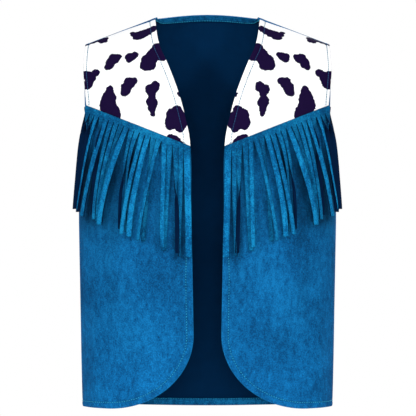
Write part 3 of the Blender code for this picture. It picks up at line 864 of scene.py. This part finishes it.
frontPoints, frontFaces, frontLines = frontPattern()
for side in (left, right):
    word = sideNames[side]
    flip = np.array([side, 1.0, 1.0])
    points = frontPoints * flip
    normals = frontNormals(points)
    lines = {name: creased(front, line * flip, frontNormals(line * flip))
             for name, line in frontLines.items()}
    points = creased(front, points, normals)
    first = points[frontFaces[0]]
    facing = np.dot(np.cross(first[1] - first[0], first[2] - first[0]), normals[frontFaces[0][0]])
    faces = frontFaces if facing > 0 else frontFaces[:, ::-1]
    freeEdge = np.concatenate([lines["edge"][::-1], lines["corner"][::-1][1:], lines["hem"][::-1][1:]])
    settled, values, paths = sewn(
        points, faces, normals, [freeEdge, lines["arm"]],
        [(freeEdge, lowerFront["edgeInset"]), (lines["arm"], (lowerFront["armInset"],))],
        [lines["side"], lines["seam"]],
    )
    values["tone"] = frontPaintedShading(points)
    piece = clothPiece(f"lowerFront_{word}", settled, faces, [suede, wrong], lowerFront["wall"], values)
    dress(piece, "suede", f"front_{word}")
    threadPiece = stitchRow(f"frontStitches_{word}", paths, "suede", thread)
print("lower fronts ready")


# yokes
yoke = {"columns": 104, "rows": 118, "wall": 1.4, "neckInset": 6.2, "armInset": 4.2, "gap": 0.12,
        "merge": 1.1, "stitchLong": 2.6}
# the print's dark patches as soft discs: x from the centre, height up the cloth from the chest, radius
patches = (
    ((108.5, 144.5, 3.6), (109.5, 138.5, 3.4), (113, 137, 2.8), (113.5, 144, 3.6), (118.2, 141.2, 3.1),
     (122.5, 138.4, 2.7), (126.7, 135.6, 2.3), (130.0, 133.4, 1.9)),
    ((80, 147.5, 2.6), (78.5, 143, 2.6), (73, 144.5, 4.2), (72, 138, 3.9), (76.5, 138, 2.8), (67, 146.5, 4.2),
     (66, 141, 3.4), (61.5, 149, 3.6), (61.5, 144, 3.0), (57, 152, 3.4), (56.5, 147.5, 2.4)),
    ((99.5, 112, 4.3), (93.5, 112, 3.5), (97, 107.5, 4.4), (102.5, 105, 4.8), (105, 98.5, 3.6),
     (101.5, 100.5, 3.4)),
    ((82, 111.5, 4.6), (76, 113.5, 3.9), (82.5, 107, 3.2), (78.5, 110, 3.6)),
    ((52.5, 121.5, 6.2), (49.5, 112, 6.4), (57, 113.5, 6.6), (63.5, 106.5, 6.2), (65, 99.5, 6.2),
     (59, 99, 5.2), (58, 105.5, 5.2), (46.5, 107.5, 3.6)),
    ((128.5, 89, 5.0), (117.5, 92, 4.4), (123, 86.5, 5.8), (126.5, 77.5, 5.2), (124, 80, 4.0)),
    ((82.5, 81.5, 4.4), (77, 81.5, 4.2), (80.5, 77, 4.2), (85.5, 74.5, 5.2), (87, 67.5, 3.8),
     (83.5, 70, 3.4)),
    ((101.8, 73.5, 3.2), (102.5, 69, 4.6), (103, 62, 7.8), (104, 54, 9.2), (98.5, 47.5, 7.4), (94, 42, 4.0)),
    ((54.2, 76.5, 4.4), (53.6, 72.5, 3.6), (60.8, 73, 4.2), (60.5, 69.5, 3.6), (57, 66, 3.4),
     (58.8, 58.5, 5.4), (56, 56.5, 4.4), (57.6, 50.5, 4.2), (56.8, 44.5, 2.7)),
    ((30.2, 66.5, 1.7), (28.4, 63.5, 1.4)),
    ((31.5, 48.5, 5.2), (38, 45, 5.0), (26.5, 42, 4.6), (38, 36.5, 6.6), (29, 35, 7.2), (38.5, 31.5, 4.2),
     (28.5, 29.5, 4.6), (24.5, 36, 5.0)),
    ((38.5, 18.5, 4.8), (33, 16.5, 5.0), (28, 13.0, 3.2)),
)


def yokeRows():
    shares = np.linspace(0, 1, yoke["columns"])[None, :]
    column = across(front, frontTurn, shares)
    bottom = meeting(seamDrop, column, np.zeros_like(shares)) - yoke["gap"] / 2
    start = shoulderAngle(front, sideDistance(column(bottom), bottom), bottom)
    steps = np.linspace(0, 1, yoke["rows"])[:, None]
    crest = shoulderHeight(front, column, np.full_like(shares, math.pi / 2))
    last = seamAngle(sideDistance(column(crest), crest))
    drops = shoulderHeight(front, column, start + (last - start) * steps)
    drops[0] = bottom[0]
    return formPoint(front, column(drops), drops)


def climbUp(points):
    x, drop = np.abs(points[..., 0]), -points[..., 2]
    steps = np.linspace(0, 1, 70)
    drops = torso["chestDrop"] - (torso["chestDrop"] - drop)[..., None] * steps
    wide = np.broadcast_to(x[..., None], drops.shape)
    line = formPoint(front, turnOf(wide, drops), drops)
    return np.linalg.norm(np.diff(line, axis=-2), axis=-1).sum(axis=-1)


def patchDistance(points):
    x, up = np.abs(points[..., 0]), climbUp(points)
    total = np.zeros_like(x)
    for discs in patches:
        for cx, cy, r in discs:
            total += np.exp(-(np.hypot(x - cx, up - cy) - r) / yoke["merge"])
    return -np.log(np.maximum(total, 1e-12)) * yoke["merge"]


yokeGrid = yokeRows()
yokePatches = patchDistance(yokeGrid)
for side in (left, right):
    word = sideNames[side]
    grid = onSide(yokeGrid, side)
    spots = yokePatches[:, ::side]
    inner, outer = grid[:, ::side][:, 0], grid[:, ::side][:, -1]
    faces = gridFaces(grid.shape[:2], front)
    settled, values, paths = sewn(
        grid, faces, gridNormals(grid, front), [inner, outer],
        [(inner, (yoke["neckInset"],)), (outer, (yoke["armInset"],))],
        [grid[-1]],
    )
    values["spots"] = spots
    piece = clothPiece(f"yokePrint_{word}", settled, faces, [cow, backing], yoke["wall"], values)
    dress(piece, "cow_print", f"yoke_{word}")
    threadPiece = stitchRow(f"yokeStitches_{word}", paths, "cow_print", threadOnPrint, yoke["stitchLong"])
    beads = np.array([vertex.co for vertex in threadPiece.data.vertices]) / mm
    under = patchDistance(beads).astype(np.float32)
    threadPiece.data.attributes.new("spots", "FLOAT", "POINT").data.foreach_set("value", under)
print("yokes ready")


# back
backPanel = {"neckColumns": 34, "shoulderColumns": 46, "rows": 150, "armRows": 8, "shoulderRows": 74,
             "frontRows": 5, "wall": 1.5, "evenBelow": 260.0, "bunchedAbove": 40.0, "armTall": 8.5,
             "tighter": 0.12, "apart": 0.12, "neckInset": 4.4, "armInset": 4.2, "hemInset": 5.6}


def backRows():
    tip = float(turnOf(torso["shoulderTip"], torso["shoulderDrop"]))
    bend = np.linspace(0, math.pi / 2, backPanel["neckColumns"] + 1)
    neck = torso["neckHalf"] * np.sin(bend)
    shoulder = np.linspace(torso["neckHalf"], torso["shoulderTip"], backPanel["shoulderColumns"] + 1)[1:]
    atTop = np.concatenate([turnOf(neck, 0.0), turnOf(shoulder, 15.0)]) / tip
    atTop[-1] = 1.0
    atHem = np.linspace(0, 1, len(atTop))
    low, high = atHem[None, :], atTop[None, :]

    def column(drop):
        blend = smooth(drop, backPanel["evenBelow"], backPanel["bunchedAbove"])
        return (low + (high - low) * blend) * sideTurn(back, drop)

    hemTurn = column(np.full_like(low, cut["sideHem"]))
    hem = cut["sideHem"] + cut["hemDip"] * np.cos(hemTurn * math.pi / 2) ** 2
    straight = np.linspace(0, 1, backPanel["rows"])[:, None]
    drops = hem + (cut["underarm"] - hem) * straight
    armSteps = np.linspace(0, backPanel["armTall"], backPanel["armRows"] + 1)[1:, None]
    arm = cut["underarm"] - armSteps * np.ones_like(low)
    lower = np.concatenate([drops, arm])
    body = lapped(formPoint(back, column(lower), lower), back)

    top = meeting(neckTop, column, np.zeros_like(low))
    topX = sideDistance(column(top), top)
    atNeck = topX < torso["neckHalf"] - 0.3
    last = np.where(atNeck, shoulderAngle(back, topX, top), math.pi / 2)
    steps = np.linspace(0, 1, backPanel["shoulderRows"])[:, None]
    steps = steps * (1 + backPanel["tighter"] * (1 - steps))
    upper = shoulderHeight(back, column, last * steps)
    upper[-1] = np.where(atNeck, top, upper[-1])
    over = formPoint(back, column(upper), upper)

    forward = []
    for share in np.linspace(0, 1, backPanel["frontRows"] + 1)[1:]:
        drop = shoulderHeight(front, column, math.pi / 2 + (seamAngle(topX) - math.pi / 2) * share)
        forward.append(formPoint(front, column(drop), drop))
    forward = np.concatenate(forward)
    forward[-1, :, 1] += backPanel["apart"]
    half = np.concatenate([body, over, forward])
    return np.concatenate([onSide(half[:, 1:], left), half], axis=1)


backGrid = backRows()
middleColumn = backGrid.shape[1] // 2
neckRow = backPanel["rows"] + backPanel["armRows"] + backPanel["shoulderRows"] - 1
firstNeck, lastNeck = middleColumn - backPanel["neckColumns"], middleColumn + backPanel["neckColumns"]
keepBack = np.ones((backGrid.shape[0] - 1, backGrid.shape[1] - 1), bool)
keepBack[neckRow:, firstNeck:lastNeck] = False
grid = creased(back, backGrid, gridNormals(backGrid, back))
armStart = backPanel["rows"] - 1
neckLine = grid[neckRow, firstNeck : lastNeck + 1]
hemLine = grid[0]
armLines = [grid[armStart:, 0], grid[armStart:, -1]]
backFaces = gridFaces(grid.shape[:2], back, keepBack)
settled, values, backPaths = sewn(
    grid, backFaces, gridNormals(grid, back), [neckLine, hemLine, *armLines],
    [(neckLine, (backPanel["neckInset"],)), (hemLine, (backPanel["hemInset"],)),
     *[(line, (backPanel["armInset"],)) for line in armLines]],
    [grid[: armStart + 1, 0], grid[: armStart + 1, -1], grid[-1, :firstNeck + 1], grid[-1, lastNeck:]],
)
backPiece = clothPiece("backPanel", settled, backFaces, [suede, wrong], backPanel["wall"], values)
dress(backPiece, "suede", "back")
backThread = stitchRow("backStitches", backPaths, "suede", thread)
print("back ready")


# turned hems inside the back
turnedHem = {"neckDeep": 6.2, "hemDeep": 8.0, "clear": 0.12, "wall": 0.9, "rows": 9, "from": 0.25,
             "soft": 0.2}


def turnedRows(edgeToInside, deep):
    wanted = np.linspace(turnedHem["from"], deep, turnedHem["rows"])
    columns = [[np.interp(wanted, lengthAlong(column), column[:, axis]) for axis in range(3)]
               for column in edgeToInside.transpose(1, 0, 2)]
    return np.array(columns).transpose(2, 0, 1)


innerBack = settled - gridNormals(settled, back) * (backPanel["wall"] + turnedHem["clear"])
byNeck = innerBack[neckRow - 14 : neckRow + 1, firstNeck : lastNeck + 1]
neckStrip = turnedRows(byNeck[::-1], turnedHem["neckDeep"])
hemStrip = turnedRows(innerBack[:16], turnedHem["hemDeep"])
turnedPieces = []
# the last number is painted light: the hem turning is painted 1.3 times lighter than the neck turning
for name, strip, node, facing, tone in (("neckTurning", neckStrip, "back_neck_hem", front, 1.0),
                                        ("hemTurning", hemStrip, "back_bottom_hem", back, 1.3)):
    normals = gridNormals(strip, facing)
    seamRow = strip[-2] - normals[-2] * turnedHem["wall"]
    away = np.linspace(0, 8, turnedHem["rows"])[:, None] + 1.0
    values = {"edge": np.broadcast_to(away, strip.shape[:2]), "stitched": distanceTo(strip, [strip[-2]]),
              "tone": np.full(strip.shape[:2], tone)}
    piece = clothPiece(name, strip, gridFaces(strip.shape[:2], facing), [shadedTurnedSuede, shadedTurnedSuede],
                       turnedHem["wall"], values, soft=turnedHem["soft"])
    dress(piece, "turned_suede", node)
    turnedPieces += [piece, stitchRow(name + "Stitches", [(seamRow, -normals[-2])], "turned_suede", thread)]
print("turned hems ready")


# fringe
fringe = {
    "wall": 1.2, "clear": 0.5, "strip": 7.0, "wide": 6.25, "firstWide": 7.7, "slit": 0.7, "soft": 0.12,
    "steps": 34, "crease": 0.6, "liftEase": 3.0, "waver": 0.35, "cup": (0.15, 0.5), "seed": 21,
    "spread": (-1.0, -0.78, 0.0, 0.78, 1.0),     # points across a strand
    # painted light and shade of the strands: per strand, along their edges, at the tips and on the top strip
    "shade": (0.64, 1.17), "edgeShade": 0.6, "tipShade": 0.6, "stripShade": 0.74,
    # the strip leaves the seam as a fold: how far below the seam, how far off the cloth
    "fold": ((0.0, 0.55), (0.35, 1.25), (1.0, 1.7), (2.6, 1.75), (4.6, 1.72), (7.0, 1.7)),
}
# from the front edge to the side: swing at the end, how early it swings, drop, how far it stands off, width,
# turning over, where that starts and ends on the way down, shade
frontStrands = (
    (-1.8, 1.0, 109.3, 4.6, 6.9, 4, 0.0, 1.0, 1.0), (0.7, 1.5, 110.4, 3.6, 4.9, 62, 0.2, 1.0, 0.40),
    (-3.0, 1.3, 109.6, 3.4, 4.9, 150, 0.20, 0.62, 0.30), (6.1, 1.0, 109.6, 2.9, 5.4, 8, 0.0, 1.0, 0.50),
    (1.8, 1.4, 108.8, 5.2, 5.0, -6, 0.0, 1.0, 0.72), (20.4, 1.3, 103.5, 7.4, 4.5, -14, 0.0, 0.6, 0.62),
    (10.2, 1.2, 106.8, 3.2, 4.4, 30, 0.1, 0.6, 0.05), (18.9, 1.5, 104.5, 5.4, 6.2, 6, 0.0, 1.0, 0.92),
    (20.8, 1.3, 104.2, 7.6, 4.7, 6, 0.0, 1.0, 0.66), (12.6, 3.5, 104.0, 3.6, 4.6, -42, 0.0, 0.5, 0.55),
    (12.4, 2.4, 103.0, 3.6, 3.4, -165, 0.28, 0.72, 0.35), (28.6, 1.35, 101.0, 8.2, 7.2, -4, 0.0, 1.0, 0.92),
    (24.2, 1.7, 100.4, 3.0, 4.6, 0, 0.0, 1.0, 0.0), (20.7, 1.6, 101.8, 4.8, 4.9, 60, 0.15, 0.55, 0.55),
    (20.7, 1.5, 101.9, 5.2, 4.6, 0, 0.0, 1.0, 0.50), (29.5, 1.15, 100.6, 7.8, 6.6, 0, 0.0, 1.0, 0.90),
    (12.3, 1.3, 101.4, 3.0, 4.6, -150, 0.0, 0.4, 0.0), (30.0, 0.95, 98.6, 7.6, 3.4, 0, 0.0, 0.2, 1.0),
    (23.0, 1.1, 102.2, 5.4, 5.2, -150, 0.0, 0.3, 0.0), (20.0, 1.1, 101.0, 7.4, 6.4, -150, 0.0, 0.3, 0.0),
)
# share of the seam, swing, how far it stands off
backHang = ((0, 0.5, 3.6), (0.3, 3, 3.8), (0.55, 6.5, 4), (0.75, 10, 4.6), (0.9, 12.5, 8), (1, 13, 12.5))
# strands of one cut, with a small unevenness in how they swing, stand off, turn and are lit
backCut = {"long": 109.0, "taper": 8.0, "ease": 2.0, "wide": 5.1, "turning": (0.0, 0.38), "swing": (0.8, 2.4),
           "lift": 0.9, "closer": 2.6, "turn": (5, 1.7), "shade": (0.2, 0.9)}
turnOvers = {0: 88, 1: 96, 2: 84, 3: 60, 9: 160, 14: -155, 18: 165}     # counted from the side seam
chance = np.random.default_rng(fringe["seed"])


def seamLine(face, innerTurn):
    shares = np.linspace(0, 1, 120)
    column = across(face, innerTurn, shares)
    drops = meeting(seamDrop, column, np.zeros_like(shares))
    turns = column(drops)
    along = lengthAlong(formPoint(face, turns, drops))
    return along, turns, drops


def offForm(face, turn, drop, lift, side):
    point = formPoint(face, turn, drop)
    seen = point * (side, 1.0, 1.0)
    return point + outward(face, turn, drop) * (lift + creaseAt(face, seen) * fringe["crease"])[..., None]


def fringeRows(face, innerTurn, strands, firstWide, side):
    along, turns, drops = seamLine(face, innerTurn)
    wide = (along[-1] - firstWide) / (len(strands) - 1)
    base = fringe["clear"] + fringe["wall"]
    spread = np.array(fringe["spread"])
    count = len(spread)
    darkest, lightest = fringe["shade"]
    downs = [*np.linspace(0, 1, fringe["steps"] + 1)[1:-1], 0.988, 1.0]
    columns, tone, start = [], [], 0.0
    for k, (swing, ease, run, lift, strandWide, turnOver, turnFrom, turnTo, shade) in enumerate(strands):
        end = start + (wide if k else firstWide)
        first, last = start + fringe["slit"] / 2, end - fringe["slit"] / 2
        at = np.linspace(first, last, count)
        rootTurn, rootDrop = np.interp(at, along, turns), np.interp(at, along, drops)
        rows = [offForm(face, rootTurn, rootDrop + down, np.full(count, off), side)
                for down, off in fringe["fold"]]
        rootHalf, half = (last - first) / 2, strandWide / 2
        middleTurn, middleDrop = rootTurn.mean(), rootDrop.mean() + fringe["strip"]
        tableTurns, arcs = arcTable(face, middleDrop)
        rootArc = np.interp(middleTurn, tableTurns, arcs)
        sway = chance.uniform(0, 6.28)
        cup = chance.uniform(*fringe["cup"])
        for down in downs:
            drop = middleDrop + run * down
            tableTurns, arcs = arcTable(face, drop)
            waver = fringe["waver"] * math.sin(5 * down + sway) * down
            arc = rootArc + swing * (1 - (1 - down) ** ease) + waver
            inner, middle, outer = (np.interp(a, arcs, tableTurns) for a in (arc - half, arc, arc + half))
            nowHalf = rootHalf + (half - rootHalf) * min(down * 5, 1.0)
            width = formPoint(face, outer, drop) - formPoint(face, inner, drop)
            width /= np.linalg.norm(width)
            out = outward(face, middle, drop)
            turned = math.radians(turnOver * smooth(down, turnFrom, turnTo))
            direction = width * math.cos(turned) + out * math.sin(turned)
            standing = out * math.cos(turned) - width * math.sin(turned)
            height = base + (lift - base) * (1 - (1 - down) ** fringe["liftEase"])
            height = max(height, base + nowHalf * abs(math.sin(turned)))
            centre = offForm(face, np.array(middle), np.array(drop), np.array(height), side)
            bowed = -cup * spread**2 * min(down * 4, 1.0)
            rows.append(centre + direction * (spread * nowHalf)[:, None] + standing * bowed[:, None])
        columns.append(np.stack(rows))
        # each strand is painted lighter or darker for how it is lit
        tone.append(darkest + (lightest - darkest) * shade)
        start = end
    grid = np.concatenate(columns, axis=1)[::-1]
    # painted shadow: dark lines along each strand's edges, a darker strip at the top, darker tips
    edgeShadow = np.tile(1 - fringe["edgeShade"] * np.abs(spread) ** 6, len(strands))
    below = np.clip((len(grid) - len(fringe["fold"]) - np.arange(len(grid))) / 3, 0, 1)[:, None]
    strip = fringe["stripShade"]
    tones = strip + (np.repeat(tone, count)[None, :] - strip) * np.clip(below + 0.15, 0, 1)
    tones = tones * (1 - below * (1 - edgeShadow)[None, :])
    tones[0] *= fringe["tipShade"]
    return grid, tones


def backStrands():
    along, _, _ = seamLine(back, centreBack)
    count = round(along[-1] / fringe["wide"])
    swingAt, liftAt = smoothCurve(backHang, 1), smoothCurve(backHang, 2)
    out = []
    swingBy, swingEvery = backCut["swing"]
    turnBy, turnEvery = backCut["turn"]
    for k in range(count):
        share = (k + 0.5) / count
        turnOver = turnOvers.get(count - 1 - k, 0)
        closer = backCut["closer"] * math.sin(math.radians(min(abs(turnOver), 90)))
        lift = float(liftAt(share)) + backCut["lift"] * (-1) ** k - closer
        swing = float(swingAt(share)) + swingBy * math.sin(swingEvery * k)
        run = math.sqrt((backCut["long"] - backCut["taper"] * k / (count - 1)) ** 2 - swing**2)
        turnOver = turnOver or turnBy * math.sin(turnEvery * k)
        out.append((swing, backCut["ease"], run, lift, backCut["wide"], turnOver, *backCut["turning"],
                    chance.uniform(*backCut["shade"])))
    return out


perStrand = len(fringe["spread"])
for face, innerTurn, strands, firstWide, word, flat, area in (
    (front, frontTurn, frontStrands, fringe["firstWide"], "front", (0.128, 0.116), 0.0144),
    (back, centreBack, backStrands(), fringe["wide"], "back", (0.155, 0.116), 0.0173),
):
    for side in (left, right):
        rows, tones = fringeRows(face, innerTurn, strands, firstWide, side)
        grid = onSide(rows, side)
        keep = np.ones((grid.shape[0] - 1, grid.shape[1] - 1), bool)
        keep[: len(rows) - len(fringe["fold"]), perStrand - 1 :: perStrand] = False     # the slits
        # the strands' backs and cut edges take the darker painted-shade copy of the wrong side
        piece = clothPiece(f"{word}Fringe_{sideNames[side]}", grid, gridFaces(grid.shape[:2], face, keep),
                           [litFringeSuede, shadedStrandBack], fringe["wall"], {"tone": tones[:, ::side]},
                           soft=fringe["soft"], rim=1)
        dress(piece, "fringe_suede", f"fringe_{word}_{sideNames[side]}")
print("fringe ready")
